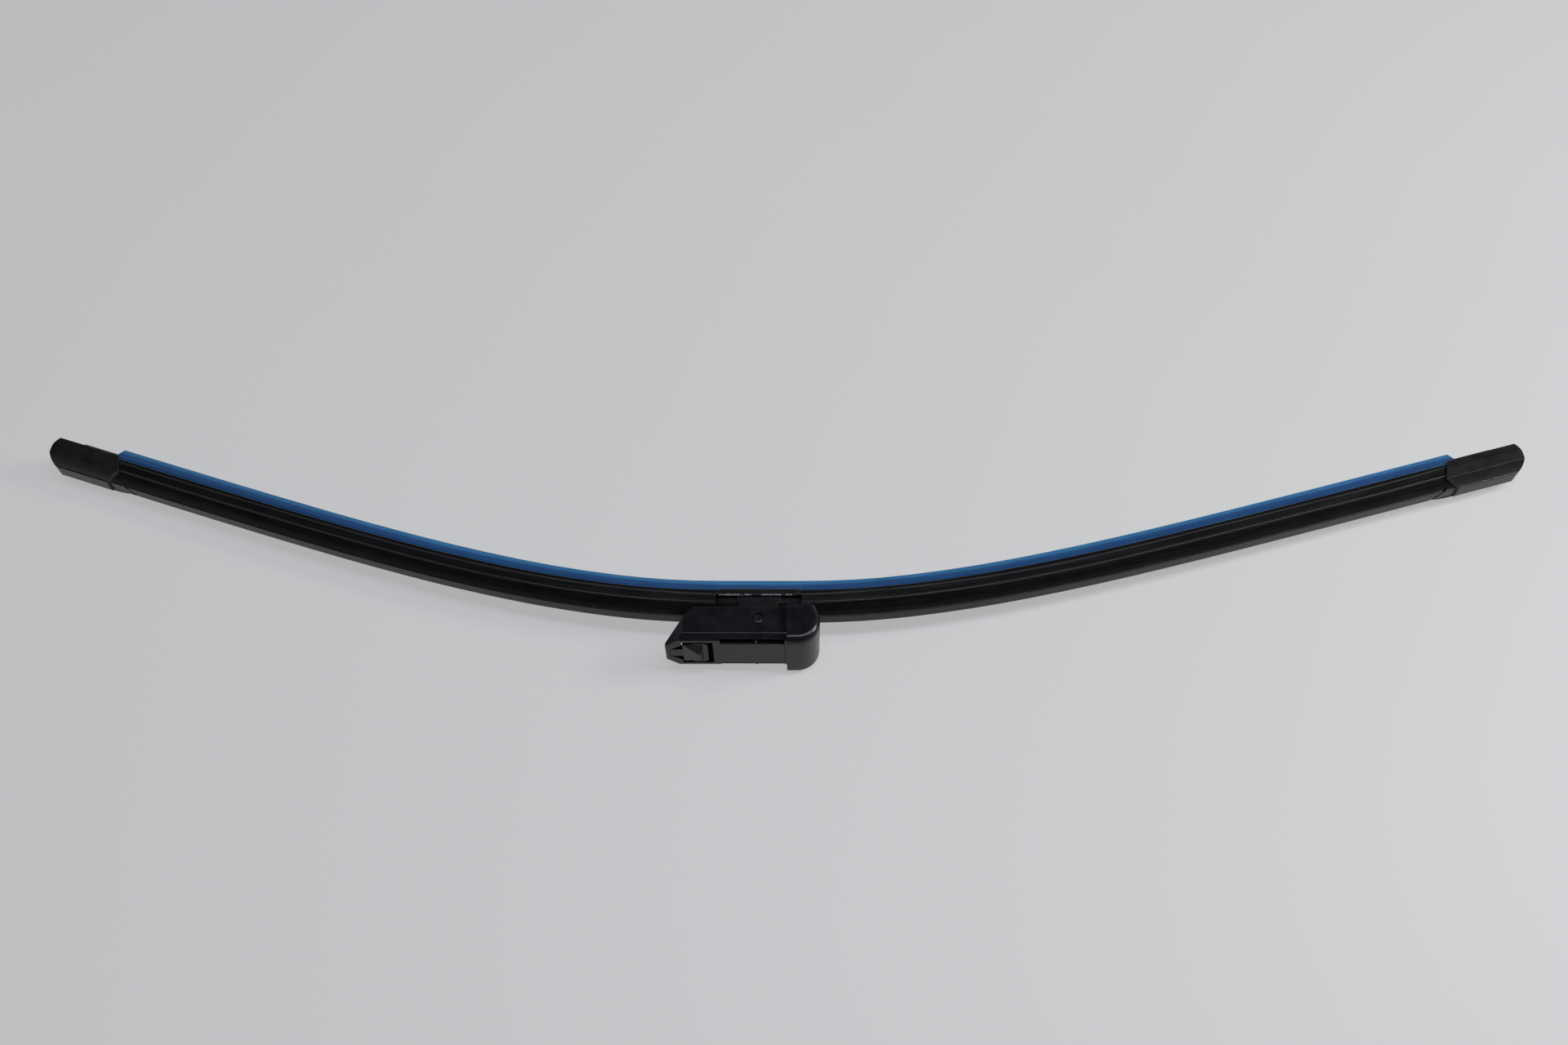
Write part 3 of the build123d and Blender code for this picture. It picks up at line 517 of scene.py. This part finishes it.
def tabletop():
    slope = resting_slope()
    height = lowest(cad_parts, slope)
    place = Matrix.Translation((0, 0, height)) @ Matrix.Rotation(atan(slope), 4, "X")
    shape = bmesh.new()
    bmesh.ops.create_circle(shape, cap_ends=True, radius=TABLE_RADIUS, segments=TABLE_SIDES)
    sweep_up(shape)
    for face in shape.faces:
        face.smooth = True
    bmesh.ops.transform(shape, matrix=place, verts=shape.verts)
    mesh = bpy.data.meshes.new("tabletop")
    shape.to_mesh(mesh)
    shape.free()
    mesh.materials.append(pale_tabletop("tabletop_white"))
    table = bpy.data.objects.new("tabletop", mesh)
    bpy.context.scene.collection.objects.link(table)


def soft_lamp(name, place, aim, width, depth, power, colour):
    lamp = bpy.data.lights.new(name, "AREA")
    lamp.shape = "RECTANGLE"
    lamp.size = width
    lamp.size_y = depth
    lamp.energy = power
    lamp.color = colour
    holder = bpy.data.objects.new(name, lamp)
    bpy.context.scene.collection.objects.link(holder)
    holder.location = place
    holder.rotation_euler = (Vector(aim) - Vector(place)).to_track_quat("-Z", "Y").to_euler()


def room_light():
    world = bpy.data.worlds.new("room")
    bpy.context.scene.world = world
    world.use_nodes = True
    background = world.node_tree.nodes["Background"]
    background.inputs["Color"].default_value = ROOM_COLOUR
    background.inputs["Strength"].default_value = ROOM_STRENGTH
    soft_lamp(
        "window_lamp", place=(1.10, 0.16, 0.72), aim=(0.0, 0.0, 0.0),
        width=0.35, depth=0.30, power=9.0, colour=(1.0, 0.97, 0.92))
    soft_lamp(
        "ceiling_lamp", place=(0.30, 0.0, 1.00), aim=(0.05, 0.0, 0.0),
        width=0.14, depth=1.2, power=6.0, colour=(0.87, 0.93, 1.0))


def photo_camera():
    lens = bpy.data.cameras.new("photo_camera")
    lens.sensor_fit = "HORIZONTAL"
    lens.sensor_width = SENSOR_WIDTH_MM
    lens.lens = SENSOR_WIDTH_MM * FOCAL_PX / PHOTO_WIDTH_PX
    lens.clip_start = CAMERA_NEAREST
    camera = bpy.data.objects.new("photo_camera", lens)
    bpy.context.scene.collection.objects.link(camera)
    turn = Matrix.Rotation(CAMERA_YAW, 4, "Z")
    tilt = Matrix.Rotation(pi / 2 - CAMERA_ELEVATION, 4, "X")
    roll = Matrix.Rotation(CAMERA_ROLL, 4, "Z")
    camera.matrix_world = Matrix.Translation(CAMERA_PLACE) @ turn @ tilt @ roll
    bpy.context.scene.camera = camera


tabletop()
room_light()
photo_camera()
bpy.context.scene.view_settings.view_transform = "Standard"
